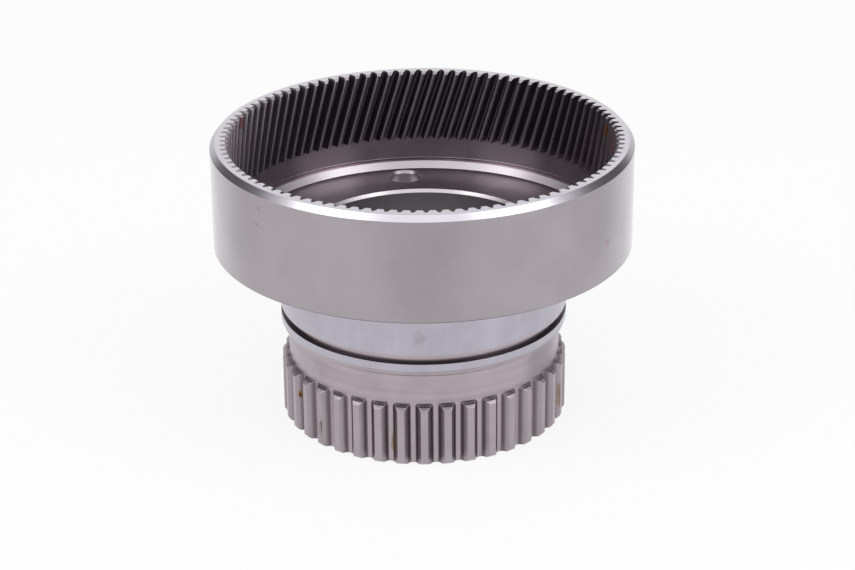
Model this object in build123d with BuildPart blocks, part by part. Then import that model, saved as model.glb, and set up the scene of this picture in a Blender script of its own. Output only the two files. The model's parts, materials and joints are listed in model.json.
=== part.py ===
"""Internal ring gear: a helical-toothed drum on a pierced web, with a splined hub below.

One turned and cut steel forging.  Sizes are in millimetres, +Z is up and the
foot of the hub stands on Z = 0, centred on the axis of the bore.
"""

import os
from math import acos, atan, cos, degrees, pi, radians, sin, tan

from build123d import *

# ---- drum ---------------------------------------------------------------
rim_wall = 3.978         # steel outside the roots of the internal teeth
total_h = 119.3          # foot of the hub to the open rim
drum_h = 44.1            # height of the drum's outside
rim_chamfer_r = 2.05     # rim bevel, measured across the rim face
rim_chamfer_h = 2.45     # rim bevel, measured down the drum

# ---- internal helical teeth ---------------------------------------------
ring_teeth = 102
normal_module = 1.5
normal_angle = 20.0      # pressure angle in the normal section
helix_angle = 17.35      # left hand, at the pitch circle
teeth_face = 31.0        # length of the teeth, down from the rim
tooth_bevel = 1.05       # bevel on the tooth ends at the rim
ring_phase = 0.915       # middle of one tooth at the rim, from +X
relief_clear = 0.25      # relief below the teeth, outside the root circle
run_out = 0.5            # travel of the cutter past each end of the teeth

# ---- web ----------------------------------------------------------------
web_t = 5.5              # thickness of the web
floor_rise = 0.5         # floor of the bowl above the drum's lower edge
ledge_inset = 0.35       # ledge round the floor, inside the tips of the teeth
ledge_h = 2.75           # ledge above the floor
ledge_slope = 2.4        # width of the bevel from the ledge to the floor
drum_foot_land = 2.8     # flat foot of the drum, from its outside inwards
drum_foot_chamfer = 0.4
under_cone_run = 10.0    # width of the cone from the drum's foot to the web

# ---- oil holes through the web ------------------------------------------
hole_count = 4
hole_r = 6.2
hole_inset = 9.1         # middle of the holes, in from the edge of the floor
hole_angle = 96.5        # first hole, from +X
hole_chamfer = 0.7

# ---- hub ----------------------------------------------------------------
bore_r = 50.9
bore_bevel_r = 0.75      # bevel at the mouth of the bore, across
bore_bevel_h = 1.5       # bevel at the mouth of the bore, down
foot_bevel = 1.0
journal_r = 59.4
journal_corner = 0.8     # bevelled corner under the web
groove_z = 45.0          # lower edge of the snap-ring groove
groove_h = 3.2
groove_depth = 2.0
collar_r = 59.3
collar_h = 3.05
collar_bevel_r = 0.85
collar_bevel_h = 2.15
neck_r = 56.35
neck_corner = 1.2        # bevelled corner under the collar

# ---- hub spline ---------------------------------------------------------
spline_teeth = 39
spline_tip_r = 59.3
spline_root_r = neck_r + 0.3
spline_tip_land = 2.72   # width of a tooth at the tip circle, degrees
spline_root_land = 2.45  # width of a space at the root circle, degrees
spline_phase = 269.9     # middle of one tooth, from +X
spline_top_z = 26.3      # where the teeth leave the neck
spline_cap_r = 1.8       # shallow bevel on the tooth ends, across
spline_cap_h = 1.1       # shallow bevel on the tooth ends, down
spline_edge = 0.95       # steep bevel on the tooth ends
spline_foot_bevel = 1.05

# ---- values that follow from the sizes above ----------------------------
transverse_module = normal_module / cos(radians(helix_angle))
pitch_r = ring_teeth * transverse_module / 2
tip_r = pitch_r - normal_module
root_r = pitch_r + 1.25 * normal_module
transverse_angle = atan(tan(radians(normal_angle)) / cos(radians(helix_angle)))
base_r = pitch_r * cos(transverse_angle)
relief_r = root_r + relief_clear
drum_r = root_r + rim_wall
cone_out_r = drum_r - drum_foot_land
cone_in_r = cone_out_r - under_cone_run
ledge_r = tip_r - ledge_inset
floor_r = ledge_r - ledge_slope
hole_circle_r = floor_r - hole_inset
drum_foot_z = total_h - drum_h
floor_z = drum_foot_z + floor_rise
web_under_z = floor_z - web_t
ledge_z = floor_z + ledge_h
teeth_foot_z = total_h - teeth_face


def involute(angle: float) -> float:
    """Involute function of an angle in radians."""
    return tan(angle) - angle


def half_gap(radius: float) -> float:
    """Half the width of an internal tooth space at a radius, in radians."""
    here = acos(base_r / radius)
    return pi / (2 * ring_teeth) + involute(transverse_angle) - involute(here)


def on_circle(radius: float, angle: float) -> tuple[float, float]:
    """Point on a circle, the angle in radians."""
    return (radius * cos(angle), radius * sin(angle))


# ---- turned blank -------------------------------------------------------
with BuildPart() as ring_gear:
    with BuildSketch(Plane.XZ) as blank_half:
        with BuildLine() as blank_line:
            Polyline(
                (bore_r, foot_bevel * 0.6),
                (bore_r, floor_z - bore_bevel_h),
                (bore_r + bore_bevel_r, floor_z),
                (floor_r, floor_z),
                (ledge_r, ledge_z),
                (relief_r, ledge_z),
                (relief_r, teeth_foot_z),
                (tip_r, teeth_foot_z),
                (tip_r, total_h - tooth_bevel),
                (tip_r + tooth_bevel, total_h),
                (drum_r - rim_chamfer_r, total_h),
                (drum_r, total_h - rim_chamfer_h),
                (drum_r, drum_foot_z + drum_foot_chamfer),
                (drum_r - drum_foot_chamfer, drum_foot_z),
                (cone_out_r, drum_foot_z),
                (cone_in_r, web_under_z),
                (journal_r, web_under_z),
                (journal_r, groove_z + groove_h),
                (journal_r - groove_depth, groove_z + groove_h),
                (journal_r - groove_depth, groove_z),
                (collar_r, groove_z),
                (collar_r, groove_z - collar_h),
                (collar_r - collar_bevel_r, groove_z - collar_h - collar_bevel_h),
                (neck_r, groove_z - collar_h - collar_bevel_h),
                (neck_r, spline_top_z),
                (neck_r + spline_cap_r, spline_top_z - spline_cap_h),
                (spline_tip_r, spline_top_z - spline_cap_h - spline_edge),
                (spline_tip_r, spline_foot_bevel),
                (spline_tip_r - spline_foot_bevel, 0),
                (bore_r + foot_bevel * 0.6, 0),
                close=True,
            )
        make_face()
    revolve(axis=Axis.Z)

    # strengthened corners where the journal meets the web and the neck its shoulder
    under_web = (
        ring_gear.edges()
        .filter_by(GeomType.CIRCLE)
        .filter_by(lambda edge: abs(edge.radius - journal_r) < 0.01)
        .sort_by(Axis.Z)[-1]
    )
    chamfer(under_web, length=journal_corner)
    under_collar = (
        ring_gear.edges()
        .filter_by(GeomType.CIRCLE)
        .filter_by(lambda edge: abs(edge.radius - neck_r) < 0.01)
        .sort_by(Axis.Z)[-1]
    )
    chamfer(under_collar, length=neck_corner)

    # oil holes, bevelled at the floor of the bowl
    with BuildSketch(Plane.XY.offset(floor_z)):
        with PolarLocations(hole_circle_r, hole_count, start_angle=hole_angle):
            Circle(hole_r)
    extrude(amount=-2 * web_t, mode=Mode.SUBTRACT)
    hole_mouths = (
        ring_gear.edges()
        .filter_by(GeomType.CIRCLE)
        .filter_by(lambda edge: abs(edge.radius - hole_r) < 0.01)
        .group_by(Axis.Z)[-1]
    )
    chamfer(hole_mouths, length=hole_chamfer)

    # straight spline spaces, cut up to the neck
    with BuildSketch() as spline_spaces:
        with BuildLine() as spline_space:
            half_root = radians(spline_root_land / 2)
            half_mouth = pi / spline_teeth - radians(spline_tip_land / 2)
            over_r = spline_tip_r + 1.0
            grow = (half_mouth - half_root) / (spline_tip_r - spline_root_r)
            half_over = half_mouth + grow * (over_r - spline_tip_r)
            floor_arc = ThreePointArc(
                on_circle(spline_root_r, -half_root),
                (spline_root_r, 0),
                on_circle(spline_root_r, half_root),
            )
            Polyline(
                floor_arc @ 1,
                on_circle(over_r, half_over),
                on_circle(over_r, -half_over),
                floor_arc @ 0,
            )
        space_face = make_face(mode=Mode.PRIVATE)
        with PolarLocations(
            0, spline_teeth, start_angle=spline_phase + 180 / spline_teeth
        ):
            add(space_face)
    extrude(amount=spline_top_z + 0.5, mode=Mode.SUBTRACT)

    # helical tooth spaces: one toothed slug of air, twisted over the face
    slug_h = teeth_face + 2 * run_out
    slug_twist = degrees(slug_h * tan(radians(helix_angle)) / pitch_r)
    rim_twist = slug_twist * (slug_h - run_out) / slug_h
    first_gap = ring_phase + 180 / ring_teeth + rim_twist
    with BuildSketch(mode=Mode.PRIVATE) as air:
        Circle(tip_r - 1.0)
        with BuildLine() as tooth_space:
            mouth_r = tip_r - 1.2
            upper_flank = Line(
                on_circle(mouth_r, half_gap(mouth_r)), on_circle(root_r, half_gap(root_r))
            )
            lower_flank = Line(
                on_circle(mouth_r, -half_gap(mouth_r)), on_circle(root_r, -half_gap(root_r))
            )
            Line(upper_flank @ 1, lower_flank @ 1)
            Line(upper_flank @ 0, lower_flank @ 0)
        gap_face = make_face(mode=Mode.PRIVATE)
        with PolarLocations(0, ring_teeth, start_angle=first_gap):
            add(gap_face)
    toothed_air = Solid.extrude_linear_with_rotation(
        air.faces()[0], (0, 0, 0), (0, 0, slug_h), -slug_twist
    )
    with Locations((0, 0, teeth_foot_z - run_out)):
        add(toothed_air, mode=Mode.SUBTRACT)

ring_gear.part.label = "ring_gear"

os.makedirs("parts", exist_ok=True)
export_step(ring_gear.part, "parts/ring_gear.step")
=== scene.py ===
"""Internal ring gear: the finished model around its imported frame.

A steel drum with helical teeth inside its rim, a pierced web below them and a
hollow hub with a ground journal, a snap-ring groove and a straight spline.
Sizes in the classes are millimetres; meshes are written in metres.
"""

import json
import logging
import math
from dataclasses import dataclass, field
from enum import IntEnum

import bmesh
import bpy
from mathutils import Matrix, Vector
from mathutils.geometry import delaunay_2d_cdt

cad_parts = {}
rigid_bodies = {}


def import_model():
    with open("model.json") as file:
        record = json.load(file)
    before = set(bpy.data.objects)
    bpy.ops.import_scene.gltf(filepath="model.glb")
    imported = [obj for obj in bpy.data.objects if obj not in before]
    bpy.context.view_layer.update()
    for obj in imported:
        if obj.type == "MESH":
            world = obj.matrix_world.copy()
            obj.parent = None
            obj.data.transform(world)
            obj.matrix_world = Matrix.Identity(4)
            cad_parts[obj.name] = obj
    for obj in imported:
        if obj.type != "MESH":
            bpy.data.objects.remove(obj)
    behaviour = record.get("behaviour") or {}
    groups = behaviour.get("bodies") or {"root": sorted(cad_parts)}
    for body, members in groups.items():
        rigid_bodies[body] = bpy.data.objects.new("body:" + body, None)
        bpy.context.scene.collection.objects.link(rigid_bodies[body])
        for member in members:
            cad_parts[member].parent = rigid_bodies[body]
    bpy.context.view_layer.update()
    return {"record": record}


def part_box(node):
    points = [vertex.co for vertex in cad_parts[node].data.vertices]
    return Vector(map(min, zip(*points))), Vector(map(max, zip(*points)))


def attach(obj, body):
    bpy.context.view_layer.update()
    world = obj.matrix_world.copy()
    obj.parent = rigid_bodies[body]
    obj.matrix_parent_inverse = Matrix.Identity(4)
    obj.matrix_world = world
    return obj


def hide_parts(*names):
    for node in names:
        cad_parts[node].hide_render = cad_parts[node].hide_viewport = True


LOG = logging.getLogger("ring_gear")
MM = 0.001
WELD_MM = 0.004
SHARP_DEG = 32.0
SHADING_WEIGHT = 60
TOLERANCE = 1e-7
LINE_LEAN = 0.83

Point = tuple[float, float, float]
Colour = tuple[float, float, float, float]
WHITE: Colour = (1.0, 1.0, 1.0, 1.0)
BLACK: Colour = (0.0, 0.0, 0.0, 1.0)


class Surface(IntEnum):
    """Which tool made a face, or which painted highlight or shade it carries, and so which finish it
    wears.
    """

    TURNED = 0
    RIM = 1
    GROUND = 2
    NECK = 3
    RING_FLANK = 4
    RING_LAND = 5
    WALL = 6
    FLOOR = 7
    BORE = 8
    SPLINE = 9
    SPLINE_FLANK = 10
    SPLINE_END = 11
    CONE = 12
    GROOVE = 13
    HOLE = 14
    SLOT = 15
    EDGE = 16
    LIP = 17


def on_circle(radius: float, angle: float, height: float) -> Point:
    """Place a point on a circle about the axis.

    Args:
        radius: distance from the axis.
        angle: angle from +X, in radians.
        height: height above the foot.

    Returns:
        The point, in the units it was given.
    """
    return (radius * math.cos(angle), radius * math.sin(angle), height)


def involute(angle: float) -> float:
    """Return the involute function of an angle in radians."""
    return math.tan(angle) - angle


# ---------------------------------------------------------------- profiles


@dataclass(frozen=True)
class Corner:
    """A corner of a turned profile, with the surface that follows it."""

    radius: float
    height: float
    surface: Surface
    soften: float = 0.0
    arc: Surface | None = None


@dataclass(frozen=True)
class Station:
    """One ring of a turned surface, with the surface that follows it."""

    radius: float
    height: float
    surface: Surface


def soften(corners: list[Corner], steps: int = 3) -> list[Station]:
    """Round the corners of a turned profile.

    Args:
        corners: the profile, in order.
        steps: faces along each rounded corner.

    Returns:
        The rings of the surface, in order.
    """
    stations: list[Station] = []
    for index, corner in enumerate(corners):
        here = Vector((corner.radius, corner.height))
        ends = index in (0, len(corners) - 1)
        if ends or corner.soften <= 0:
            stations.append(Station(here.x, here.y, corner.surface))
            continue
        before = corners[index - 1]
        after = corners[index + 1]
        back = (Vector((before.radius, before.height)) - here).normalized()
        ahead = (Vector((after.radius, after.height)) - here).normalized()
        half = back.angle(ahead) / 2
        reach = corner.soften / math.tan(half)
        middle = here + (back + ahead).normalized() * corner.soften / math.sin(half)
        start = here + back * reach - middle
        sweep = math.pi - 2 * half
        turn = 1.0 if start.x * ahead.y - start.y * ahead.x > 0 else -1.0
        for step in range(steps + 1):
            spin = Matrix.Rotation(turn * sweep * step / steps, 2)
            place = middle + spin @ start
            made = corner.surface if corner.arc is None or step == steps else corner.arc
            stations.append(Station(place.x, place.y, made))
    return stations


def pitch_arc(station: Station, middle: float, half_pitch: float, columns: int) -> list[Point]:
    """Place the points of a plain ring over one pitch.

    Args:
        station: the ring.
        middle: angle of the pitch's middle, in radians.
        half_pitch: half of the pitch's angle.
        columns: number of faces over the pitch.

    Returns:
        The points, both ends included.
    """
    start = middle - half_pitch
    step = 2 * half_pitch / columns
    return [on_circle(station.radius, start + step * n, station.height) for n in range(columns + 1)]


def both_sides(half: list[tuple[float, float]], middle: float, height: float) -> list[Point]:
    """Trace a tooth from one half of its outline.

    Args:
        half: angle from the middle and radius of each point, the last on the middle.
        middle: angle of the tooth's middle, in radians.
        height: height of the section.

    Returns:
        The points of the section, from the middle of one space to the next.
    """
    left = [on_circle(r, middle - a, height) for a, r in half]
    right = [on_circle(r, middle + a, height) for a, r in reversed(half[:-1])]
    return left + right


# ------------------------------------------------------------------ meshes


@dataclass
class Skin:
    """Collects rings of points and the faces between them, in millimetres."""

    points: list[Point] = field(default_factory=list)
    faces: list[tuple[int, ...]] = field(default_factory=list)
    surfaces: list[int] = field(default_factory=list)

    def ring(self, points: list[Point]) -> list[int]:
        """Add a row of points.

        Args:
            points: the points, in order.

        Returns:
            Their numbers.
        """
        first = len(self.points)
        self.points.extend(points)
        return list(range(first, first + len(points)))

    def strip(
        self, one: list[int], other: list[int], surface: Surface | list[Surface]
    ) -> None:
        """Fill the band between two rows that have the same number of points.

        Args:
            one: numbers of the first row's points.
            other: numbers of the second row's points.
            surface: one surface for the band, or one for each of its columns.
        """
        for step in range(len(one) - 1):
            self.faces.append((one[step], one[step + 1], other[step + 1], other[step]))
            made = surface[step] if isinstance(surface, list) else surface
            self.surfaces.append(int(made))

    def turn(self, row: list[int], stations: list[Station], rings: list[list[Point]]) -> list[int]:
        """Follow a turned profile on from its first ring.

        Args:
            row: numbers of the first ring's points.
            stations: every ring of the profile, the first included.
            rings: the points of each ring after the first.

        Returns:
            Numbers of the last ring's points.
        """
        for station, points in zip(stations, rings):
            ahead = self.ring(points)
            self.strip(row, ahead, station.surface)
            row = ahead
        return row

    def patch(self, one: list[int], other: list[int], surface: Surface) -> None:
        """Fill the flat patch between two rows that differ in their points."""
        self.faces.append(tuple(one + other[::-1]))
        self.surfaces.append(int(surface))

    def triangle(self, corners: tuple[int, int, int], surface: Surface) -> None:
        """Add one triangle."""
        self.faces.append(corners)
        self.surfaces.append(int(surface))

    def to_object(self, name: str) -> bpy.types.Object:
        """Make a mesh object of what was collected.

        Args:
            name: name of the object and its mesh.

        Returns:
            The object, linked to the scene, its faces marked with their surface.
        """
        mesh = bpy.data.meshes.new(name)
        mesh.from_pydata([tuple(v * MM for v in p) for p in self.points], [], self.faces)
        marks = mesh.attributes.new("surface", "INT", "FACE")
        marks.data.foreach_set("value", self.surfaces)
        made = bpy.data.objects.new(name, mesh)
        bpy.context.scene.collection.objects.link(made)
        return made


# ----------------------------------------------------------- sub-assemblies


@dataclass
class Drum:
    """One tooth pitch of the drum: teeth, rim, outside and the rising cone."""

    teeth: int = 102
    normal_module: float = 1.5
    normal_angle: float = 20.0
    helix_angle: float = 17.35
    phase: float = 0.915
    root_depth: float = 1.25
    rim_wall: float = 3.978
    rim_z: float = 119.3
    drum_h: float = 44.1
    teeth_face: float = 31.0
    tooth_bevel: float = 1.05
    relief_clear: float = 0.25
    floor_rise: float = 0.5
    web_t: float = 5.5
    ledge_inset: float = 0.35
    ledge_h: float = 2.75
    ledge_slope: float = 2.4
    rim_chamfer: tuple[float, float] = (2.05, 2.45)
    foot_land: float = 2.8
    foot_chamfer: float = 0.4
    under_cone_run: float = 10.0
    root_round: float = 0.3
    tip_round: float = 0.13
    floor_flat: float = 0.25
    rim_flat: float = 0.5
    under_flat: float = 0.04
    plain_columns: int = 4
    face_rows: int = 9

    def __post_init__(self) -> None:
        """Work out the circles of the teeth."""
        slant = math.radians(self.helix_angle)
        self.pitch_r = self.teeth * self.normal_module / math.cos(slant) / 2
        self.tip_r = self.pitch_r - self.normal_module
        self.root_r = self.pitch_r + self.root_depth * self.normal_module
        self.relief_r = self.root_r + self.relief_clear
        self.outside_r = self.root_r + self.rim_wall
        self.ledge_r = self.tip_r - self.ledge_inset
        self.floor_r = self.ledge_r - self.ledge_slope
        self.cone_out_r = self.outside_r - self.foot_land
        self.cone_in_r = self.cone_out_r - self.under_cone_run
        self.drum_foot_z = self.rim_z - self.drum_h
        self.floor_z = self.drum_foot_z + self.floor_rise
        self.web_under_z = self.floor_z - self.web_t
        self.ledge_z = self.floor_z + self.ledge_h
        self.teeth_foot_z = self.rim_z - self.teeth_face
        self.face_angle = math.atan(
            math.tan(math.radians(self.normal_angle)) / math.cos(slant)
        )
        self.base_r = self.pitch_r * math.cos(self.face_angle)
        self.half_pitch = math.pi / self.teeth

    def tooth_middle(self, height: float) -> float:
        """Return the angle of the middle of a tooth at a height, in radians."""
        lead = math.tan(math.radians(self.helix_angle)) / self.pitch_r
        return math.radians(self.phase) + (self.rim_z - height) * lead

    def flank(self, radius: float) -> float:
        """Find the involute flank.

        Args:
            radius: radius at which the flank is met.

        Returns:
            The angle there from the tooth's middle, in radians.
        """
        here = math.acos(self.base_r / radius)
        gap = self.half_pitch + 2 * (involute(self.face_angle) - involute(here))
        return self.half_pitch - gap / 2

    def outline(self, height: float, land_r: float) -> list[Point]:
        """Trace one tooth from the middle of a space to the next.

        Args:
            height: height of the section.
            land_r: radius of the tooth's land there.

        Returns:
            The points of the section, from one side to the other.
        """
        near_root = self.root_r - self.root_round
        near_land = land_r + self.tip_round
        root = self.flank(self.root_r)
        land = self.flank(land_r) - self.tip_round / land_r
        third = (near_land - near_root) / 3
        start = 0.2 * self.root_round
        turned, risen = 0.7 * self.tip_round, 0.3 * self.tip_round
        half = [
            (self.half_pitch, self.root_r),
            (root + self.root_round / self.root_r, self.root_r),
            (root + start / self.root_r, self.root_r - start),
            (self.flank(near_root), near_root),
            (self.flank(near_root + third), near_root + third),
            (self.flank(near_root + 2 * third), near_root + 2 * third),
            (self.flank(near_land), near_land),
            (land + turned / land_r, land_r + risen),
            (land, land_r),
            (0.0, land_r),
        ]
        return both_sides(half, self.tooth_middle(height), height)

    def plain(self, stations: list[Station], middle: float) -> list[list[Point]]:
        """Return the points of plain rings over one pitch."""
        return [pitch_arc(s, middle, self.half_pitch, self.plain_columns) for s in stations]

    def inner_corners(self) -> list[Corner]:
        """List the profile from the web's floor up to the foot of the teeth.

        Returns:
            The corners, in order.
        """
        return [
            Corner(self.floor_r - self.floor_flat, self.floor_z, Surface.FLOOR),
            Corner(self.floor_r, self.floor_z, Surface.CONE, soften=0.2),
            Corner(self.ledge_r, self.ledge_z, Surface.WALL, soften=0.15),
            # The fillet at the foot of the relief wall wears the bright lip finish, which is painted
            # highlight.
            Corner(self.relief_r, self.ledge_z, Surface.WALL, soften=0.7, arc=Surface.LIP),
            Corner(self.relief_r, self.teeth_foot_z, Surface.WALL),
        ]

    def outer_corners(self) -> list[Corner]:
        """List the profile from the rim round the outside to the web.

        Returns:
            The corners, in order.
        """
        chamfer_r, chamfer_h = self.rim_chamfer
        return [
            Corner(self.root_r + self.rim_flat, self.rim_z, Surface.RIM),
            Corner(self.outside_r - chamfer_r, self.rim_z, Surface.RIM, soften=0.25),
            Corner(self.outside_r, self.rim_z - chamfer_h, Surface.TURNED, soften=0.3),
            # The foot chamfer wears the dark edge finish, which is painted shade.
            Corner(self.outside_r, self.drum_foot_z + self.foot_chamfer, Surface.EDGE, soften=0.1),
            Corner(self.outside_r - self.foot_chamfer, self.drum_foot_z, Surface.TURNED, soften=0.1),
            Corner(self.cone_out_r, self.drum_foot_z, Surface.TURNED, soften=0.5),
            Corner(self.cone_in_r, self.web_under_z, Surface.TURNED),
            Corner(self.cone_in_r - self.under_flat, self.web_under_z, Surface.TURNED),
        ]

    def raise_teeth(self, skin: Skin, row: list[int]) -> list[int]:
        """Run the teeth up from their foot to the rim, with the bevel at the top.

        Args:
            skin: where the faces go.
            row: numbers of the points at the foot.

        Returns:
            Numbers of the points at the rim.
        """
        # Painted highlight: columns 9 to 11, one half of the land and the tip rounding on that side,
        # wear the bright land finish.
        tooth = [Surface.RING_FLANK] * 9 + [Surface.RING_LAND] * 3 + [Surface.RING_FLANK] * 6
        face_h = self.rim_z - self.tooth_bevel - self.teeth_foot_z
        for step in range(1, self.face_rows + 1):
            height = self.teeth_foot_z + face_h * step / self.face_rows
            ahead = skin.ring(self.outline(height, self.tip_r))
            skin.strip(row, ahead, tooth)
            row = ahead
        ahead = skin.ring(self.outline(self.rim_z, self.tip_r + self.tooth_bevel))
        skin.strip(row, ahead, Surface.CONE)
        return ahead

    def build(self) -> tuple[bpy.types.Object, list[Point], list[Point]]:
        """Make one pitch of the drum.

        Returns:
            The object, its edge on the floor and its edge under the web.
        """
        skin = Skin()
        inner = soften(self.inner_corners(), 4)
        rings = self.plain(inner, self.tooth_middle(self.teeth_foot_z))
        floor_edge = rings[0]
        row = skin.turn(skin.ring(floor_edge), inner, rings[1:])
        teeth = skin.ring(self.outline(self.teeth_foot_z, self.tip_r))
        skin.patch(row, teeth, Surface.RING_FLANK)
        row = self.raise_teeth(skin, teeth)
        outer = soften(self.outer_corners())
        rings = self.plain(outer, self.tooth_middle(self.rim_z))
        rim = skin.ring(rings[0])
        skin.patch(row, rim, Surface.RIM)
        skin.turn(rim, outer, rings[1:])
        return skin.to_object("drum_pitch"), floor_edge, rings[-1]


@dataclass
class Hub:
    """One spline pitch of the hub: journal, groove, collar, neck, spline, bore."""

    floor_z: float
    web_under_z: float
    splines: int = 39
    phase: float = 269.9
    bore_r: float = 50.9
    bore_bevel: tuple[float, float] = (0.75, 1.5)
    foot_bevel: float = 0.6
    journal_r: float = 59.4
    journal_corner: float = 0.8
    groove_z: float = 45.0
    groove_h: float = 3.2
    groove_depth: float = 2.0
    groove_bevel: tuple[float, float] = (0.3, 0.8)
    collar_r: float = 59.3
    collar_h: float = 3.05
    collar_bevel: tuple[float, float] = (0.85, 2.15)
    neck_r: float = 56.35
    neck_corner: float = 1.2
    spline_top_z: float = 26.3
    tip_r: float = 59.3
    root_r: float = 56.4
    cap: tuple[float, float] = (1.8, 1.1)
    cap_edge: float = 0.95
    spline_foot_bevel: float = 1.05
    tip_land: float = 2.72
    root_land: float = 2.45
    root_round: float = 0.35
    tip_round: float = 0.22
    under_flat: float = 0.2
    foot_flat: float = 0.5
    floor_flat: float = 0.3
    columns: int = 14

    def __post_init__(self) -> None:
        """Work out the angles of the splines."""
        self.half_pitch = math.pi / self.splines
        self.tip_half = math.radians(self.tip_land) / 2
        self.root_half = self.half_pitch - math.radians(self.root_land) / 2

    def flank(self, radius: float) -> float:
        """Return the angle from a spline's middle to its straight flank at a radius."""
        share = (radius - self.root_r) / (self.tip_r - self.root_r)
        return self.root_half + (self.tip_half - self.root_half) * share

    def outline(self, height: float, land_r: float) -> list[Point]:
        """Trace one spline tooth from the middle of a space to the next.

        Args:
            height: height of the section.
            land_r: radius of the tooth's land there.

        Returns:
            The points of the section, from one side to the other.
        """
        most = 0.4 * max(land_r - self.root_r, 0.0)
        fillet = min(self.root_round, most)
        edge = min(self.tip_round, most)
        near_root = self.root_r + fillet
        near_land = land_r - edge
        root = self.flank(self.root_r)
        land = self.flank(land_r)
        half = [
            (self.half_pitch, self.root_r),
            (root + fillet / self.root_r, self.root_r),
            (root + 0.1 * fillet / self.root_r, self.root_r + 0.3 * fillet),
            (self.flank(near_root), near_root),
            (self.flank(near_land), near_land),
            (land - 0.2 * edge / land_r, land_r - 0.25 * edge),
            (land - edge / land_r, land_r),
            (0.0, land_r),
        ]
        return both_sides(half, math.radians(self.phase), height)

    def plain(self, stations: list[Station]) -> list[list[Point]]:
        """Return the points of plain rings over one pitch."""
        middle = math.radians(self.phase)
        return [pitch_arc(s, middle, self.half_pitch, self.columns) for s in stations]

    def upper_corners(self) -> list[Corner]:
        """List the profile from under the web down to the splines.

        Returns:
            The corners, in order.
        """
        corner = self.journal_corner
        groove_top = self.groove_z + self.groove_h
        groove_r = self.journal_r - self.groove_depth
        bevel_r, bevel_h = self.collar_bevel
        shoulder_z = self.groove_z - self.collar_h - bevel_h
        return [
            Corner(self.journal_r + corner + self.under_flat, self.web_under_z, Surface.GROUND),
            Corner(self.journal_r + corner, self.web_under_z, Surface.GROUND, soften=0.2),
            Corner(self.journal_r, self.web_under_z - corner, Surface.GROUND, soften=0.2),
            Corner(self.journal_r, groove_top + self.groove_bevel[1], Surface.SLOT, soften=0.1),
            Corner(self.journal_r - self.groove_bevel[0], groove_top, Surface.SLOT, soften=0.08),
            Corner(groove_r, groove_top, Surface.SLOT, soften=0.2),
            # The collar's top face in the groove wears the dark groove finish, which is painted shade.
            Corner(groove_r, self.groove_z, Surface.GROOVE, soften=0.2),
            Corner(self.collar_r, self.groove_z, Surface.GROUND, soften=0.12),
            Corner(self.collar_r, self.groove_z - self.collar_h, Surface.NECK, soften=0.15),
            Corner(self.collar_r - bevel_r, shoulder_z, Surface.NECK, soften=0.35),
            Corner(self.neck_r + self.neck_corner, shoulder_z, Surface.NECK, soften=0.3),
            Corner(self.neck_r, shoulder_z - self.neck_corner, Surface.NECK, soften=1.6),
            Corner(self.neck_r, self.spline_top_z, Surface.SPLINE),
        ]

    def lower_corners(self) -> list[Corner]:
        """List the profile from the foot up the bore to the floor.

        Returns:
            The corners, in order.
        """
        bevel_r, bevel_h = self.bore_bevel
        return [
            Corner(self.root_r - self.foot_flat, 0.0, Surface.SPLINE),
            Corner(self.bore_r + self.foot_bevel, 0.0, Surface.BORE, soften=0.15),
            Corner(self.bore_r, self.foot_bevel, Surface.BORE, soften=0.15),
            # The bevel at the top of the bore wears the bright lip finish, which is painted highlight.
            Corner(self.bore_r, self.floor_z - bevel_h, Surface.LIP, soften=0.2),
            Corner(self.bore_r + bevel_r, self.floor_z, Surface.FLOOR, soften=0.15),
            Corner(self.bore_r + bevel_r + self.floor_flat, self.floor_z, Surface.FLOOR),
        ]

    def spline_stations(self) -> list[Station]:
        """List the rings of the spline's blank, from the neck to the foot.

        Returns:
            The rings, in order.
        """
        cap_r, cap_h = self.cap
        rise = (self.root_r - self.neck_r) * cap_h / cap_r
        cap_z = self.spline_top_z - cap_h
        edge_z = cap_z - self.cap_edge
        return soften(
            [
                Corner(self.root_r, self.spline_top_z - rise, Surface.SPLINE_END),
                Corner(self.neck_r + cap_r, cap_z, Surface.SPLINE, soften=0.15),
                Corner(self.tip_r, edge_z, Surface.SPLINE, soften=0.25),
                Corner(self.tip_r, self.spline_foot_bevel, Surface.SPLINE, soften=0.25),
                Corner(self.tip_r - self.spline_foot_bevel, 0.0, Surface.SPLINE),
            ],
            2,
        )

    def build(self) -> tuple[bpy.types.Object, list[Point], list[Point]]:
        """Make one pitch of the hub.

        Returns:
            The object, its edge on the floor and its edge under the web.
        """
        skin = Skin()
        upper = soften(self.upper_corners())
        rings = self.plain(upper)
        under_edge = rings[0]
        row = skin.turn(skin.ring(under_edge), upper, rings[1:])
        flank = [Surface.SPLINE_FLANK] * 4
        above = Surface.SPLINE
        for station in self.spline_stations():
            sides = [Surface.SPLINE] + flank + [above] * 4 + flank + [Surface.SPLINE]
            ahead = skin.ring(self.outline(station.height, station.radius))
            skin.strip(row, ahead, sides)
            row = ahead
            above = station.surface
        lower = soften(self.lower_corners())
        rings = self.plain(lower)
        foot = skin.ring(rings[0])
        skin.patch(row, foot, Surface.SPLINE)
        skin.turn(foot, lower, rings[1:])
        return skin.to_object("hub_pitch"), rings[-1], under_edge


def whole_loop(edge: list[Point], count: int) -> list[Point]:
    """Repeat one pitch's edge all the way round.

    Args:
        edge: the points over one pitch, both ends included.
        count: number of pitches in the circle.

    Returns:
        The closed loop, its first point not repeated.
    """
    loop: list[Point] = []
    for turn in range(count):
        spin = Matrix.Rotation(2 * math.pi * turn / count, 3, "Z")
        loop.extend(tuple(spin @ Vector(p)) for p in edge[:-1])
    return loop


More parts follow.
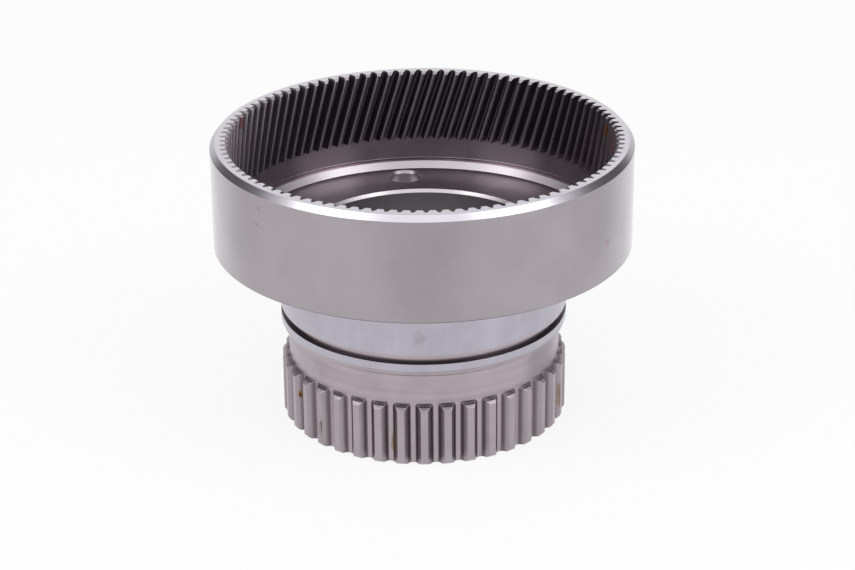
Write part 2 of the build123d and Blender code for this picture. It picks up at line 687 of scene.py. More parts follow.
@dataclass
class Web:
    """The two faces of the web and the oil holes through it."""

    holes: int = 4
    hole_r: float = 6.2
    circle_r: float = 66.8
    first_angle: float = 96.5
    chamfer: float = 1.1
    mouth_flat: float = 0.3
    foot_flat: float = 0.1
    facets: int = 72

    def hole_ring(self, angle: float, radius: float, height: float) -> list[Point]:
        """Place the points of one ring of a hole.

        Args:
            angle: where the hole stands on its circle, in radians.
            radius: radius of the ring.
            height: height of the ring.

        Returns:
            The points, the first not repeated.
        """
        middle = Vector(on_circle(self.circle_r, angle, height))
        return [
            tuple(middle + Vector(on_circle(radius, 2 * math.pi * n / self.facets, 0)))
            for n in range(self.facets)
        ]

    def face(
        self, skin: Skin, outer: list[Point], inner: list[Point],
        holes: list[list[Point]], surface: Surface,
    ) -> None:
        """Fill the flat face between two loops, leaving the holes open.

        Args:
            skin: where the faces go.
            outer: outer loop of the face.
            inner: inner loop of the face.
            holes: loops left open.
            surface: surface of the new faces.
        """
        loops = [outer, inner] + holes
        flat: list[Vector] = []
        edges: list[tuple[int, int]] = []
        for loop in loops:
            first = len(flat)
            flat.extend(Vector(p[:2]) for p in loop)
            edges.extend((first + n, first + (n + 1) % len(loop)) for n in range(len(loop)))
        height = outer[0][2]
        points, _, triangles, *_ = delaunay_2d_cdt(flat, edges, [], 0, TOLERANCE)
        reach = Vector(inner[0][:2]).length
        centres = [sum((Vector(p[:2]) for p in h), Vector((0, 0))) / len(h) for h in holes]
        almost = 0.999
        size = (Vector(holes[0][0][:2]) - centres[0]).length * almost
        numbers = skin.ring([(p.x, p.y, height) for p in points])
        for corners in triangles:
            middle = sum((points[n] for n in corners), Vector((0, 0))) / 3
            if middle.length < reach * math.cos(math.pi / len(inner)):
                continue
            if any((middle - centre).length < size for centre in centres):
                continue
            skin.triangle(tuple(numbers[n] for n in corners), surface)

    def build(
        self, floor: tuple[list[Point], list[Point]], under: tuple[list[Point], list[Point]]
    ) -> bpy.types.Object:
        """Make the web's two faces and its holes.

        Args:
            floor: outer and inner loop of the upper face.
            under: outer and inner loop of the lower face.

        Returns:
            The object.
        """
        skin = Skin()
        top_z = floor[0][0][2]
        foot_z = under[0][0][2]
        corners = [
            Corner(self.hole_r + self.chamfer + self.mouth_flat, top_z, Surface.CONE),
            Corner(self.hole_r + self.chamfer, top_z, Surface.CONE, soften=0.15),
            Corner(self.hole_r, top_z - self.chamfer, Surface.HOLE, soften=0.2),
            Corner(self.hole_r, foot_z, Surface.HOLE, soften=0.08),
            Corner(self.hole_r + self.foot_flat, foot_z, Surface.TURNED),
        ]
        stations = soften(corners)
        angles = [
            math.radians(self.first_angle + 360 * n / self.holes) for n in range(self.holes)
        ]
        for angle in angles:
            rings = [
                skin.ring(self.hole_ring(angle, s.radius, s.height)) for s in stations
            ]
            for before, one, other in zip(stations, rings, rings[1:]):
                skin.strip(one + one[:1], other + other[:1], before.surface)
        mouths = [self.hole_ring(a, stations[0].radius, top_z) for a in angles]
        feet = [self.hole_ring(a, stations[-1].radius, foot_z) for a in angles]
        self.face(skin, floor[0], floor[1], mouths, Surface.FLOOR)
        self.face(skin, under[0], under[1], feet, Surface.TURNED)
        return skin.to_object("web_faces")


# ------------------------------------------------------------ node writing


class Value:
    """A shader socket that can be used in arithmetic."""

    def __init__(self, graph: "Graph", socket: bpy.types.NodeSocket) -> None:
        """Wrap a socket of a graph."""
        self.graph = graph
        self.socket = socket

    def _math(self, operation: str, one: object, other: object = None) -> "Value":
        """Add a Math node and return its result."""
        values = {0: one} if other is None else {0: one, 1: other}
        return self.graph.node("ShaderNodeMath", {"operation": operation}, values)

    def __add__(self, other: object) -> "Value":
        """Return the sum."""
        return self._math("ADD", self, other)

    def __radd__(self, other: object) -> "Value":
        """Return the sum, this value on the right."""
        return self._math("ADD", other, self)

    def __sub__(self, other: object) -> "Value":
        """Return the difference."""
        return self._math("SUBTRACT", self, other)

    def __rsub__(self, other: object) -> "Value":
        """Return the difference, this value on the right."""
        return self._math("SUBTRACT", other, self)

    def __mul__(self, other: object) -> "Value":
        """Return the product."""
        return self._math("MULTIPLY", self, other)

    def root(self) -> "Value":
        """Return the square root."""
        return self._math("SQRT", self)

    def power(self, exponent: float) -> "Value":
        """Return the value raised to a power."""
        return self._math("POWER", self, exponent)

    def highest(self, other: object) -> "Value":
        """Return the larger of two values."""
        return self._math("MAXIMUM", self, other)

    def between(self, low: float, high: float) -> "Value":
        """Step smoothly from 0 to 1.

        Args:
            low: the result is 0 below this.
            high: the result is 1 above this.

        Returns:
            The step.
        """
        return self.graph.node(
            "ShaderNodeMapRange",
            {"interpolation_type": "SMOOTHSTEP"},
            {"Value": self, "From Min": low, "From Max": high},
        )


class Graph:
    """Writes nodes into a tree."""

    def __init__(self, tree: bpy.types.NodeTree) -> None:
        """Start on an empty tree."""
        self.tree = tree
        tree.nodes.clear()

    def node(
        self, kind: str, settings: dict | None = None, values: dict | None = None,
        output: int | str = 0,
    ) -> Value:
        """Add a node.

        Args:
            kind: the node's type.
            settings: properties, set first.
            values: sockets by name or number, each a value or a link.
            output: the output that is returned.

        Returns:
            The chosen output.
        """
        made = self.tree.nodes.new(kind)
        for name, setting in (settings or {}).items():
            setattr(made, name, setting)
        for key, value in (values or {}).items():
            socket = made.inputs[key]
            if isinstance(value, Value):
                self.tree.links.new(value.socket, socket)
            elif value is not None:
                socket.default_value = value
        if not made.outputs:
            return Value(self, None)
        return Value(self, made.outputs[output])

    def noise(self, place: Value, scale: float, detail: float, rough: float = 0.5) -> Value:
        """Add a noise.

        Args:
            place: where the noise is read.
            scale: how fine it is.
            detail: how many finer layers it has.
            rough: how strong the finer layers are.

        Returns:
            The noise, from 0 to 1.
        """
        return self.node(
            "ShaderNodeTexNoise", {"noise_dimensions": "3D"},
            {"Vector": place, "Scale": scale, "Detail": detail, "Roughness": rough},
        )

    def blend(self, share: object, one: object, other: object) -> Value:
        """Mix two colours by a share, from all of one at 0 to all of the other at 1."""
        return self.node("ShaderNodeMix", {"data_type": "RGBA"}, {0: share, 6: one, 7: other}, 2)


# ---------------------------------------------------------------- finishes


def shade(red: int, green: int, blue: int) -> Colour:
    """Turn a colour as it looks on a screen into the shader's own scale.

    Args:
        red: red, from 0 to 255.
        green: green, from 0 to 255.
        blue: blue, from 0 to 255.

    Returns:
        The colour on the linear scale, opaque.
    """
    def linear(part: int) -> float:
        """Return one channel on the linear scale."""
        share = part / 255
        return share / 12.92 if share <= 0.04045 else ((share + 0.055) / 1.055) ** 2.4

    return (linear(red), linear(green), linear(blue), 1.0)


@dataclass(frozen=True)
class Mark:
    """A stain, rust spot or nick, or a patch of painted highlight or shade, at a place on the steel, in
    millimetres.
    """

    place: Point
    size: Point
    colour: Colour
    strength: float = 1.0
    ragged: float = 0.5
    dull: float = 0.3


@dataclass(frozen=True)
class RootShade:
    """Painted shade: a darker colour between two radii, deepest towards the tooth roots; radii in
    millimetres.
    """

    unshaded_r: float
    shaded_r: float
    colour: Colour
    strength: float = 1.0


@dataclass(frozen=True)
class Where:
    """Where a shaded point lies on the part, in metres."""

    graph: Graph
    place: Value
    across: Value
    deep: Value
    height: Value
    radius: Value

    @classmethod
    def on(cls, graph: Graph) -> "Where":
        """Write the nodes that find a point's place.

        Args:
            graph: the tree being written.

        Returns:
            The place and what it is made of.
        """
        place = graph.node("ShaderNodeTexCoord", output="Object")
        across = graph.node("ShaderNodeSeparateXYZ", values={0: place})
        ports = across.socket.node.outputs
        deep, height = Value(graph, ports["Y"]), Value(graph, ports["Z"])
        radius = (across * across + deep * deep).root()
        return cls(graph, place, across, deep, height, radius)

    def streaks(self, along: Value, round_scale: float, along_scale: float, detail: float) -> Value:
        """Add a noise that is stretched round the axis.

        Args:
            along: place along the profile.
            round_scale: scale round the axis.
            along_scale: scale along the profile.
            detail: how many finer layers it has.

        Returns:
            The noise, from 0 to 1.
        """
        stretched = self.graph.node(
            "ShaderNodeCombineXYZ",
            values={0: self.across * round_scale, 1: self.deep * round_scale, 2: along * along_scale},
        )
        return self.graph.noise(stretched, 1.0, detail, 0.6)


@dataclass(frozen=True)
class SteelFinish:
    """One way the steel is finished, with its stains and nicks and any painted highlight or shade."""

    name: str
    colour: Colour
    dark: Colour
    roughness: float = 0.32
    cloud: float = 0.3
    band: float = 0.1
    line_pitch: float = 0.4
    line_height: float = 0.0006
    smear: float = 0.0
    grime: float = 0.0
    grime_size: float = 2.5
    oil: float = 0.0
    depth: RootShade | None = None
    rings: float = 0.0
    marks: tuple[Mark, ...] = ()

    def base(self, where: Where, bands: Value) -> tuple[Value, Value]:
        """Tone the clean steel.

        Args:
            where: place of the shaded point.
            bands: noise of the broad turning bands.

        Returns:
            The colour and the roughness.
        """
        graph = where.graph
        clouds = graph.noise(where.place, 55.0, 4.0, 0.55)
        toned = clouds.between(0.35, 0.7) * self.cloud + bands.between(0.35, 0.75) * self.band
        colour = graph.blend(toned, self.colour, self.dark)
        uneven = (clouds - 0.5) * (0.2 * self.cloud)
        rough = self.roughness + uneven + (bands - 0.5) * (0.3 * self.band)
        if self.smear:
            wiped = where.streaks(where.height, 260.0, 28.0, 3.0)
            streak = wiped.between(0.45, 0.75) * self.smear
            colour = graph.blend(streak, colour, shade(206, 208, 218))
            rough = rough + streak * 0.1
        if self.rings:
            turns = where.radius * (2000 * math.pi / self.rings) + clouds * 5.0
            wave = graph.node("ShaderNodeMath", {"operation": "SINE"}, {0: turns})
            colour = graph.blend(wave.between(0.2, 0.9), colour, self.colour)
        return colour, rough

    def wear(self, where: Where, colour: Value, rough: Value) -> tuple[Value, Value]:
        """Lay grime, painted shade towards the tooth roots, and marks on the steel.

        Args:
            where: place of the shaded point.
            colour: colour of the clean steel.
            rough: roughness of the clean steel.

        Returns:
            The colour and the roughness with them.
        """
        graph = where.graph
        if self.grime:
            spread = graph.noise(where.place, 1000 / self.grime_size, 5.0, 0.65)
            dirt = spread.between(0.54, 0.74) * self.grime
            colour = graph.blend(dirt, colour, shade(52, 46, 46))
            rough = rough + dirt * 0.15
        # Painted shade: the colour darkens between two radii towards the tooth roots, where the teeth
        # shade one another.
        if self.depth:
            clean, darkest = self.depth.unshaded_r * MM, self.depth.shaded_r * MM
            painted_root_shade = where.radius.between(min(clean, darkest), max(clean, darkest))
            if clean > darkest:
                painted_root_shade = 1.0 - painted_root_shade
            colour = graph.blend(painted_root_shade * self.depth.strength, colour, self.depth.colour)
        for mark in self.marks:
            spot = self.spot(where, mark)
            colour = graph.blend(spot, colour, mark.colour)
            rough = rough + spot * mark.dull
        return colour, rough

    def spot(self, where: Where, mark: Mark) -> Value:
        """Find how strongly a mark shows.

        Args:
            where: place of the shaded point.
            mark: the mark.

        Returns:
            The strength, from 0 to 1.
        """
        graph = where.graph
        middle, size = (tuple(v * MM for v in part) for part in (mark.place, mark.size))
        away = graph.node("ShaderNodeVectorMath", {"operation": "SUBTRACT"}, {0: where.place, 1: middle})
        scaled = graph.node("ShaderNodeVectorMath", {"operation": "DIVIDE"}, {0: away, 1: size})
        length = graph.node("ShaderNodeVectorMath", {"operation": "LENGTH"}, {0: scaled}, "Value")
        frayed = length + (graph.noise(where.place, 700.0, 3.0) - 0.5) * (2.0 * mark.ragged)
        return (1.0 - frayed.between(0.35, 1.0)) * mark.strength

    def build(self) -> bpy.types.Material:
        """Make the material of this finish.

        Returns:
            The material.
        """
        material = bpy.data.materials.new(self.name)
        material.use_nodes = True
        graph = Graph(material.node_tree)
        where = Where.on(graph)
        # Part of the radius is taken off the height, so that flat faces have turning lines too.
        along = where.height - where.radius * LINE_LEAN
        fine = where.streaks(along, 14.0, 1000 / self.line_pitch, 2.0)
        bands = where.streaks(along, 9.0, 110 / self.line_pitch, 3.0)
        colour, rough = self.wear(where, *self.base(where, bands))
        relief = {"Strength": 1.0, "Distance": self.line_height * MM, "Height": fine + bands * 1.5}
        steel = graph.node(
            "ShaderNodeBsdfPrincipled",
            values={
                "Base Color": colour,
                "Metallic": 1.0,
                "Roughness": rough,
                "Normal": graph.node("ShaderNodeBump", values=relief),
                "Coat Weight": self.oil,
                "Coat Roughness": 0.1,
            },
        )
        graph.node("ShaderNodeOutputMaterial", values={"Surface": steel})
        return material


class Finishes:
    """Every finish of the steel, by the surface that wears it."""

    def __init__(self) -> None:
        """Choose the finishes."""
        rust = shade(134, 98, 48)
        brown = shade(150, 104, 66)
        red = shade(122, 54, 64)
        soot = shade(34, 31, 33)
        stains = (
            Mark((-74.5, 26.3, 117.5), (2.6, 3.4, 6.0), red, 0.75, 0.6),
            Mark((-75.8, 22.6, 114.5), (1.8, 2.2, 4.0), red, 0.6, 0.5),
            Mark((75.9, 21.8, 112.6), (2.4, 2.6, 4.6), brown, 0.85, 0.5),
            Mark((78.0, 12.0, 110.0), (4.0, 9.0, 9.0), shade(150, 120, 118), 0.5, 0.3),
        )
        nicks = tuple(
            Mark(place, size, soot, 0.9)
            for place, size in (
                ((-28.0, -52.4, 48.4), (0.5, 0.5, 0.35)),
                ((-17.5, -56.8, 48.3), (0.4, 0.4, 0.3)),
                ((11.5, -58.3, 48.4), (0.5, 0.5, 0.35)),
                ((23.3, -54.6, 48.5), (0.6, 0.6, 0.3)),
                ((39.0, -44.8, 48.4), (0.6, 0.6, 0.4)),
            )
        )
        rust_spot = Mark((-50.9, -27.8, 16.6), (1.4, 5.0, 2.6), rust, 0.9, 0.4)
        right_stain = Mark((56.1, -18.8, 10.5), (1.6, 2.4, 8.0), shade(140, 106, 68), 0.6, 0.6)
        # Painted highlight: a light colour for bright patches on the relief wall.
        painted_sheen = shade(200, 188, 194)
        self.by_surface: dict[Surface, SteelFinish] = {
            Surface.TURNED: SteelFinish(
                "turned_steel", shade(167, 159, 165), shade(156, 150, 154),
                roughness=0.33, cloud=0.5, band=0.03, line_height=0.0003, oil=1.0,
                marks=(
                    Mark((72.3, -46.6, 91.3), (2.2, 2.8, 2.6), shade(150, 112, 124), 0.45, 0.7, 0.02),
                    Mark((-63.0, -58.5, 112.1), (0.55, 0.6, 0.6), shade(70, 64, 66), 0.8, 0.3),
                    Mark((-64.4, -57.0, 105.0), (1.1, 1.2, 1.0), shade(110, 102, 106), 0.45, 0.6),
                    Mark((77.5, -37.3, 110.2), (1.0, 1.4, 1.0), shade(150, 120, 132), 0.4, 0.6),
                ),
            ),
            Surface.RIM: SteelFinish(
                "rim_steel", shade(173, 170, 177), shade(161, 157, 164),
                roughness=0.26, cloud=0.3, line_height=0.0004,
            ),
            Surface.GROUND: SteelFinish(
                "ground_steel", shade(184, 181, 191), shade(169, 166, 176),
                roughness=0.24, cloud=0.5, line_pitch=0.2, line_height=0.0002, smear=0.1,
                marks=(
                    Mark((-1.8, -59.3, 56.0), (3.4, 3.0, 4.4), shade(136, 130, 136), 0.26, 0.5, 0.04),
                    *nicks,
                ),
            ),
            Surface.NECK: SteelFinish(
                "neck_steel", shade(180, 170, 176), shade(150, 140, 146),
                roughness=0.34, cloud=0.3, band=0.45, line_height=0.0012,
                marks=(
                    # Painted shade: a broad darker patch on the right side of the neck.
                    Mark((48.1, -29.3, 33.5), (13.0, 18.0, 18.0), shade(128, 124, 133), 0.55, 0.0, 0.0),
                ),
            ),
            Surface.RING_FLANK: SteelFinish(
                "ring_flank_steel", shade(126, 119, 126), shade(108, 101, 107),
                roughness=0.36, cloud=0.4, grime=0.4, line_height=0.0003,
                # Painted shade: darker towards the roots of the ring teeth.
                depth=RootShade(79.2, 81.6, shade(116, 109, 116), 0.9),
                marks=stains,
            ),
            # Painted highlight: the bright colour stands for the highlight along one edge of each ring
            # tooth's land; its stains and grime are real.
            Surface.RING_LAND: SteelFinish(
                "ring_land_steel", shade(186, 179, 187), shade(160, 153, 160),
                roughness=0.34, cloud=0.5, grime=0.3, line_height=0.0003,
                marks=stains,
            ),
            Surface.WALL: SteelFinish(
                "relief_steel", shade(160, 149, 155), shade(130, 119, 125),
                roughness=0.36, cloud=0.7, band=0.2, grime=0.15,
                marks=(
                    # Painted highlights: two broad light patches on the back of the relief wall.
                    Mark((-43.7, 69.7, 84.2), (26.0, 18.0, 16.0), painted_sheen, 0.6, 0.0, 0.0),
                    Mark((39.3, 72.3, 83.8), (24.0, 16.0, 16.0), painted_sheen, 0.6, 0.0, 0.0),
                ),
            ),
            Surface.FLOOR: SteelFinish(
                "web_steel", shade(138, 132, 136), shade(120, 114, 118),
                roughness=0.3, cloud=0.4, band=0.35, line_pitch=0.5, line_height=0.001,
            ),
            Surface.BORE: SteelFinish(
                "bore_steel", shade(160, 155, 158), shade(138, 132, 136),
                roughness=0.32, cloud=0.4, band=0.2,
            ),
            Surface.SPLINE: SteelFinish(
                "spline_steel", shade(175, 165, 170), shade(156, 147, 152),
                roughness=0.34, cloud=0.4, band=0.05, line_height=0.0004, grime=0.06,
                marks=(
                    rust_spot,
                    Mark((-41.9, -42.0, 9.0), (0.8, 0.8, 3.4), shade(58, 50, 48), 0.85, 1.1),
                    Mark((-42.4, -41.5, 8.0), (2.4, 2.4, 6.0), shade(128, 116, 110), 0.4, 0.9),
                    Mark((-12.6, -55.7, 9.0), (1.4, 2.0, 8.0), shade(118, 98, 68), 0.7, 0.5),
                    right_stain,
                ),
            ),
            Surface.SPLINE_FLANK: SteelFinish(
                "spline_flank_steel", shade(166, 157, 162), shade(148, 139, 144),
                roughness=0.36, cloud=0.4, grime=0.12, line_height=0.0004,
                # Painted shade: darker towards the roots of the splines.
                depth=RootShade(58.5, 56.9, shade(110, 100, 106), 0.95),
                marks=(
                    rust_spot,
                    Mark((-50.9, -27.8, 16.2), (0.6, 5.0, 1.1), shade(66, 50, 30), 0.9, 0.3),
                    Mark((-50.9, -29.9, 11.0), (1.6, 1.6, 6.0), shade(116, 104, 78), 0.5, 0.8),
                    Mark((-12.6, -55.7, 9.0), (1.8, 2.4, 9.0), shade(112, 94, 54), 0.8, 0.4),
                    right_stain,
                ),
            ),
            # The spline caps: real turning rings, and a dark tone that is painted shade.
            Surface.SPLINE_END: SteelFinish(
                "spline_end_steel", shade(136, 128, 133), shade(82, 75, 80),
                roughness=0.4, cloud=0.5, band=1.4, line_pitch=0.14, line_height=0.003,
                rings=0.62,
            ),
            # Painted highlight: the fillet where the ledge meets the relief wall and the bevel at the
            # top of the bore are coloured brighter than the steel.
            Surface.LIP: SteelFinish(
                "lip_steel", shade(214, 207, 212), shade(198, 191, 196),
                roughness=0.26, cloud=0.2, line_height=0.0004,
            ),
            Surface.CONE: SteelFinish(
                "bevel_steel", shade(160, 154, 158), shade(140, 134, 138),
                roughness=0.28, cloud=0.3, line_height=0.0004,
            ),
            # Painted shade: the collar's top face inside the snap-ring groove is coloured dark for the
            # shade under the journal.
            Surface.GROOVE: SteelFinish(
                "groove_steel", shade(82, 75, 81), shade(56, 51, 55),
                roughness=0.4, cloud=0.5, grime=0.5,
            ),
            Surface.SLOT: SteelFinish(
                "slot_steel", shade(186, 175, 180), shade(164, 153, 158),
                roughness=0.3, cloud=0.3, band=0.1, grime=0.1, grime_size=0.8,
            ),
            # Painted shade: the chamfer at the drum's foot is coloured dark for the shade on its
            # downward face.
            Surface.EDGE: SteelFinish(
                "edge_steel", shade(112, 104, 108), shade(92, 84, 88), roughness=0.36,
            ),
            Surface.HOLE: SteelFinish(
                "hole_steel", shade(158, 150, 154), shade(130, 122, 126),
                roughness=0.34, cloud=0.4, grime=0.2,
            ),
        }

    def materials(self) -> dict[Surface, bpy.types.Material]:
        """Make every material, by surface."""
        return {surface: finish.build() for surface, finish in self.by_surface.items()}


# ---------------------------------------------------------------- assembly


class GearAssembly:
    """Repeats the pitches round the axis and welds them into one body."""

    def __init__(self, materials: dict[Surface, bpy.types.Material]) -> None:
        """Write the tree that repeats, welds and dresses the pitches.

        Args:
            materials: the material of each surface.
        """
        self.tree = bpy.data.node_groups.new("gear_assembly", "GeometryNodeTree")
        self.tree.is_modifier = True
        sockets = self.tree.interface
        sockets.new_socket("Geometry", in_out="OUTPUT", socket_type="NodeSocketGeometry")
        self.inputs = {
            name: sockets.new_socket(name, in_out="INPUT", socket_type=f"NodeSocket{kind}")
            for name, kind in {
                "Drum pitch": "Object", "Ring teeth": "Int",
                "Hub pitch": "Object", "Splines": "Int",
                "Web": "Object", "Weld distance": "Float",
            }.items()
        }
        graph = Graph(self.tree)
        entry = graph.node("NodeGroupInput")
        given = {
            name: Value(graph, entry.socket.node.outputs[name]) for name in self.inputs
        }
        drum = self.around(graph, given["Drum pitch"], given["Ring teeth"])
        hub = self.around(graph, given["Hub pitch"], given["Splines"])
        web = graph.node("GeometryNodeObjectInfo", values={"Object": given["Web"]}, output="Geometry")
        joined = graph.node("GeometryNodeJoinGeometry")
        for part in (drum, hub, web):
            self.tree.links.new(part.socket, joined.socket.node.inputs[0])
        body = graph.node("GeometryNodeRealizeInstances", values={"Geometry": joined})
        body = graph.node(
            "GeometryNodeMergeByDistance",
            values={"Geometry": body, "Distance": given["Weld distance"]},
        )
        graph.node("NodeGroupOutput", values={"Geometry": self.dress(graph, body, materials)})

    def dress(
        self, graph: Graph, body: Value, materials: dict[Surface, bpy.types.Material]
    ) -> Value:
        """Give each face the material of its surface.

        Args:
            graph: the tree being written.
            body: the welded body.
            materials: the material of each surface.

        Returns:
            The dressed body.
        """
        mark = graph.node("GeometryNodeInputNamedAttribute", {"data_type": "INT"}, {"Name": "surface"})
        for surface, material in materials.items():
            chosen = graph.node(
                "FunctionNodeCompare", {"data_type": "INT", "operation": "EQUAL"},
                {2: mark, 3: int(surface)},
            )
            body = graph.node(
                "GeometryNodeSetMaterial",
                values={"Geometry": body, "Selection": chosen, "Material": material},
            )
        return body

    def around(self, graph: Graph, pitch: Value, count: Value) -> Value:
        """Repeat one pitch about the axis.

        Args:
            graph: the tree being written.
            pitch: object holding one pitch.
            count: how many pitches close the circle.

        Returns:
            The instances.
        """
        shape = graph.node("GeometryNodeObjectInfo", values={"Object": pitch}, output="Geometry")
        row = graph.node("GeometryNodeMeshLine", values={"Count": count, "Offset": (0.0, 0.0, 0.0)})
        number = graph.node("GeometryNodeInputIndex")
        turn = number * (2 * math.pi) * count.power(-1.0)
        euler = graph.node("ShaderNodeCombineXYZ", values={"Z": turn})
        spin = graph.node("FunctionNodeEulerToRotation", values={0: euler})
        return graph.node(
            "GeometryNodeInstanceOnPoints",
            values={"Points": row, "Instance": shape, "Rotation": spin},
        )

    def weld(
        self, name: str, drum: bpy.types.Object, teeth: int, hub: bpy.types.Object,
        splines: int, web: bpy.types.Object,
    ) -> bpy.types.Object:
        """Run the tree and turn its result into a plain mesh.

        Args:
            name: name of the finished piece.
            drum: one pitch of the drum.
            teeth: number of ring teeth.
            hub: one pitch of the hub.
            splines: number of hub splines.
            web: the web's faces and holes.

        Returns:
            The finished piece.
        """
        host = bpy.data.objects.new(f"{name}_host", bpy.data.meshes.new(f"{name}_host"))
        bpy.context.scene.collection.objects.link(host)
        modifier = host.modifiers.new("assembly", "NODES")
        modifier.node_group = self.tree
        settings = {
            "Drum pitch": drum, "Ring teeth": teeth, "Hub pitch": hub,
            "Splines": splines, "Web": web, "Weld distance": WELD_MM * MM,
        }
        for title, setting in settings.items():
            modifier[self.inputs[title].identifier] = setting
        mesh = self.evaluated(host)
        self.face_outwards(mesh)
        piece = bpy.data.objects.new(name, mesh)
        mesh.name = name
        bpy.context.scene.collection.objects.link(piece)
        for spent in (host, drum, hub, web):
            bpy.data.objects.remove(spent)
        even = piece.modifiers.new("even_shading", "WEIGHTED_NORMAL")
        even.keep_sharp = True
        even.weight = SHADING_WEIGHT
        shaded = self.evaluated(piece)
        piece.modifiers.clear()
        piece.data = shaded
        shaded.name = name
        return piece

    def evaluated(self, source: bpy.types.Object) -> bpy.types.Mesh:
        """Apply an object's modifiers to a copy of its mesh.

        Args:
            source: the object.

        Returns:
            The new mesh.
        """
        graph = bpy.context.evaluated_depsgraph_get()
        return bpy.data.meshes.new_from_object(
            source.evaluated_get(graph), preserve_all_data_layers=True, depsgraph=graph
        )

    def face_outwards(self, mesh: bpy.types.Mesh) -> None:
        """Turn every face outwards, shade smoothly and keep the hard edges.

        Args:
            mesh: the mesh that is changed.
        """
        work = bmesh.new()
        work.from_mesh(mesh)
        bmesh.ops.dissolve_degenerate(work, dist=TOLERANCE, edges=work.edges)
        bmesh.ops.recalc_face_normals(work, faces=work.faces)
        loose = [edge for edge in work.edges if len(edge.link_faces) != 2]
        if work.calc_volume(signed=True) < 0:
            bmesh.ops.reverse_faces(work, faces=work.faces)
        LOG.info("welded body: %d faces, %d open edges, %.1f cm3",
                 len(work.faces), len(loose), work.calc_volume() * 1e6)
        for face in work.faces:
            face.smooth = True
        work.to_mesh(mesh)
        work.free()
        mesh.set_sharp_from_angle(angle=math.radians(SHARP_DEG))


# ------------------------------------------------------------------- stage


@dataclass
class Lamp:
    """A soft rectangular lamp aimed at a point."""

    name: str
    place: Point
    aim: Point
    size: tuple[float, float]
    power: float

    def build(self) -> None:
        """Hang the lamp."""
        data = bpy.data.lights.new(self.name, "AREA")
        data.shape = "RECTANGLE"
        data.size, data.size_y = self.size
        data.energy = self.power
        lamp = bpy.data.objects.new(self.name, data)
        lamp.location = self.place
        toward = Vector(self.aim) - Vector(self.place)
        lamp.rotation_euler = toward.to_track_quat("-Z", "Y").to_euler()
        bpy.context.scene.collection.objects.link(lamp)


@dataclass(frozen=True)
class Pool:
    """A soft dark pool on the floor, which only mirrors see."""

    middle: tuple[float, float]
    reach: float
    strength: float

    def shadow(self, graph: Graph, place: Value) -> Value:
        """Find how dark the pool is.

        Args:
            graph: the tree being written.
            place: place of the shaded point on the floor.

        Returns:
            The pool's strength in its middle, falling to 0 at its reach.
        """
        ends = {0: place, 1: (*self.middle, 0.0)}
        away = graph.node("ShaderNodeVectorMath", {"operation": "DISTANCE"}, ends, "Value")
        return (1.0 - away.between(0.0, self.reach)) * self.strength


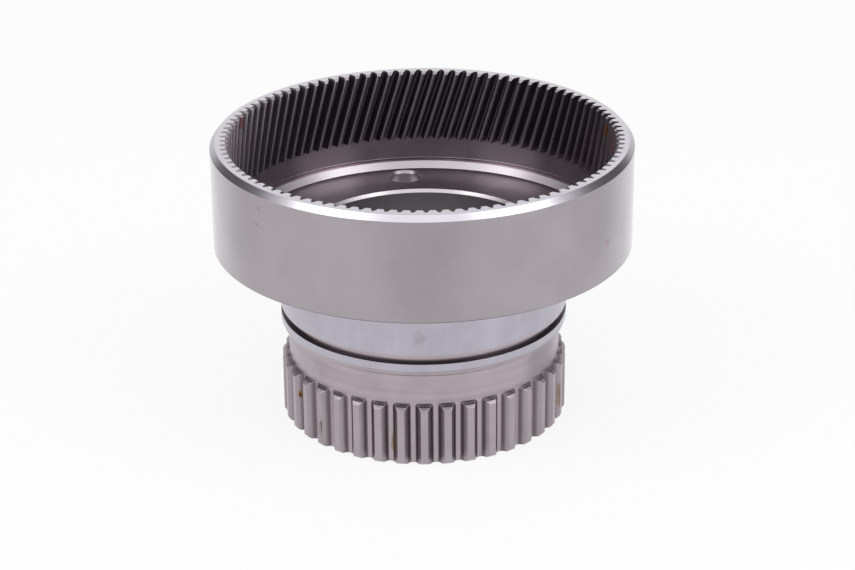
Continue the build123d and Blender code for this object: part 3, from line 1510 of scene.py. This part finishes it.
@dataclass
class Studio:
    """The pale floor, the white surround, the lamps and the camera."""

    camera_y: float = -0.94049
    camera_z: float = 0.47149
    pitch_down: float = 23.9795
    yaw: float = 0.1030
    roll: float = -0.4912
    lens: float = 104.29
    sensor: float = 36.0
    floor_size: float = 6.0
    paper: Colour = (0.93, 0.93, 0.97, 1.0)
    floor_glow: float = 0.84
    surround: float = 0.55
    card_depth: float = 0.85
    front_pool: Pool = Pool((0.0, -0.34), 0.17, 0.38)
    side_pools: tuple[Pool, Pool] = (Pool((-0.33, 0.04), 0.15, 0.28), Pool((0.33, 0.04), 0.15, 0.28))

    def seen(self, graph: Graph) -> Value:
        """Tell the rays that see the stage from those that only light it.

        Args:
            graph: the tree being written.

        Returns:
            1 where a ray comes from the camera, a mirror or a glass.
        """
        camera = graph.node("ShaderNodeLightPath", output="Is Camera Ray")
        ports = camera.socket.node.outputs
        mirror = Value(graph, ports["Is Glossy Ray"])
        return camera.highest(mirror.highest(Value(graph, ports["Is Transmission Ray"])))

    def build_floor(self) -> None:
        """Lay the floor."""
        mesh = bpy.data.meshes.new("floor")
        half = self.floor_size / 2
        mesh.from_pydata(
            [(-half, -half, 0), (half, -half, 0), (half, half, 0), (-half, half, 0)],
            [],
            [(0, 1, 2, 3)],
        )
        floor = bpy.data.objects.new("floor", mesh)
        bpy.context.scene.collection.objects.link(floor)
        material = bpy.data.materials.new("studio_floor")
        material.use_nodes = True
        graph = Graph(material.node_tree)
        paper = graph.node("ShaderNodeBsdfDiffuse", values={"Color": self.paper})
        place = graph.node("ShaderNodeTexCoord", output="Object")
        dim = self.front_pool.shadow(graph, place)
        for pool in self.side_pools:
            dim = dim + pool.shadow(graph, place)
        dim = dim * graph.node("ShaderNodeLightPath", output="Is Glossy Ray")
        light = graph.blend(dim, WHITE, BLACK)
        glow = graph.node("ShaderNodeEmission", values={"Color": light, "Strength": 1.0})
        share = self.seen(graph) * self.floor_glow
        mixed = graph.node("ShaderNodeMixShader", values={0: share, 1: paper, 2: glow})
        graph.node("ShaderNodeOutputMaterial", values={"Surface": mixed})
        mesh.materials.append(material)

    def side_card(self, graph: Graph) -> Value:
        """Find the dark cards that stand low behind at both sides.

        Args:
            graph: the tree being written.

        Returns:
            1 where a mirrored ray meets a card.
        """
        toward = graph.node("ShaderNodeTexCoord", output="Generated")
        axes = graph.node("ShaderNodeSeparateXYZ", values={0: toward}).socket.node.outputs
        behind = Value(graph, axes["Y"])
        above = Value(graph, axes["Z"])
        across = behind.between(0.04, 0.22) * (1.0 - behind.between(0.68, 0.86))
        upright = above.between(0.02, 0.1) * (1.0 - above.between(0.5, 0.64))
        mirrored = graph.node("ShaderNodeLightPath", output="Is Glossy Ray")
        return across * upright * mirrored

    def build_world(self) -> None:
        """Make the surround, white wherever it is seen or mirrored."""
        world = bpy.data.worlds.new("surround")
        bpy.context.scene.world = world
        world.use_nodes = True
        graph = Graph(world.node_tree)
        soft = graph.node("ShaderNodeBackground", values={"Color": WHITE, "Strength": self.surround})
        light = graph.blend(self.side_card(graph) * self.card_depth, WHITE, BLACK)
        white = graph.node("ShaderNodeBackground", values={"Color": light, "Strength": 1.0})
        mixed = graph.node("ShaderNodeMixShader", values={0: self.seen(graph), 1: soft, 2: white})
        graph.node("ShaderNodeOutputWorld", values={"Surface": mixed})

    def build_lamps(self) -> None:
        """Hang the lamps."""
        drum = (0.0, 0.0, 0.08)
        for lamp in (
            Lamp("back_lamp", (0.0, 1.25, 0.75), drum, (2.0, 0.8), 2.0),
            Lamp("front_lamp", (0.0, -0.68, 1.12), drum, (0.9, 0.5), 1.5),
            Lamp("left_lamp", (-0.8, -0.47, 1.0), drum, (0.7, 0.6), 4.5),
            Lamp("right_lamp", (0.8, -0.47, 1.0), drum, (0.7, 0.6), 4.5),
        ):
            lamp.build()

    def build_camera(self) -> None:
        """Set up the camera."""
        pitch = math.radians(self.pitch_down)
        yaw = math.radians(self.yaw)
        data = bpy.data.cameras.new("camera")
        data.lens = self.lens
        data.sensor_width = self.sensor
        data.clip_start = 0.01
        camera = bpy.data.objects.new("camera", data)
        ahead = Vector(
            (math.sin(yaw) * math.cos(pitch), math.cos(yaw) * math.cos(pitch), -math.sin(pitch))
        )
        right = Vector((math.cos(yaw), -math.sin(yaw), 0.0))
        above = right.cross(ahead)
        lean = Matrix.Rotation(-math.radians(self.roll), 3, ahead)
        right, above = lean @ right, lean @ above
        turn = Matrix((right, above, -ahead)).transposed().to_4x4()
        camera.matrix_world = Matrix.Translation((0.0, self.camera_y, self.camera_z)) @ turn
        bpy.context.scene.collection.objects.link(camera)
        bpy.context.scene.camera = camera

    def build(self) -> None:
        """Set the whole stage."""
        self.build_floor()
        self.build_world()
        self.build_lamps()
        self.build_camera()
        bpy.context.scene.view_settings.view_transform = "Standard"


def main() -> None:
    """Build the gear, dress it and set the stage."""
    logging.basicConfig(level=logging.INFO, format="%(name)s: %(message)s")
    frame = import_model()
    studio = Studio()
    studio.build()
    mounts = {mount["name"]: mount["dims"] for mount in frame["record"]["mounts"]}
    drum = Drum(rim_z=round(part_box("ring_gear")[1].z / MM, 3))
    hub = Hub(
        bore_r=mounts["hub_bore"]["r_mm"],
        journal_r=mounts["hub_journal"]["r_mm"],
        tip_r=mounts["hub_spline"]["r_mm"],
        floor_z=drum.floor_z,
        web_under_z=drum.web_under_z,
    )
    web = Web(
        holes=mounts["web_holes"]["count"],
        hole_r=mounts["web_holes"]["hole_r_mm"],
        circle_r=mounts["web_holes"]["pcd_mm"] / 2,
    )
    drum_pitch, drum_floor, drum_under = drum.build()
    hub_pitch, hub_floor, hub_under = hub.build()
    web_faces = web.build(
        (whole_loop(drum_floor, drum.teeth), whole_loop(hub_floor, hub.splines)),
        (whole_loop(drum_under, drum.teeth), whole_loop(hub_under, hub.splines)),
    )
    assembly = GearAssembly(Finishes().materials())
    gear = assembly.weld("gear_body", drum_pitch, drum.teeth, hub_pitch, hub.splines, web_faces)
    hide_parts("ring_gear")
    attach(gear, "root")
    triangles = sum(len(face.vertices) - 2 for face in gear.data.polygons)
    LOG.info("piece %s: %d triangles", gear.name, triangles)
    bpy.context.view_layer.update()


if __name__ == "__main__":
    main()
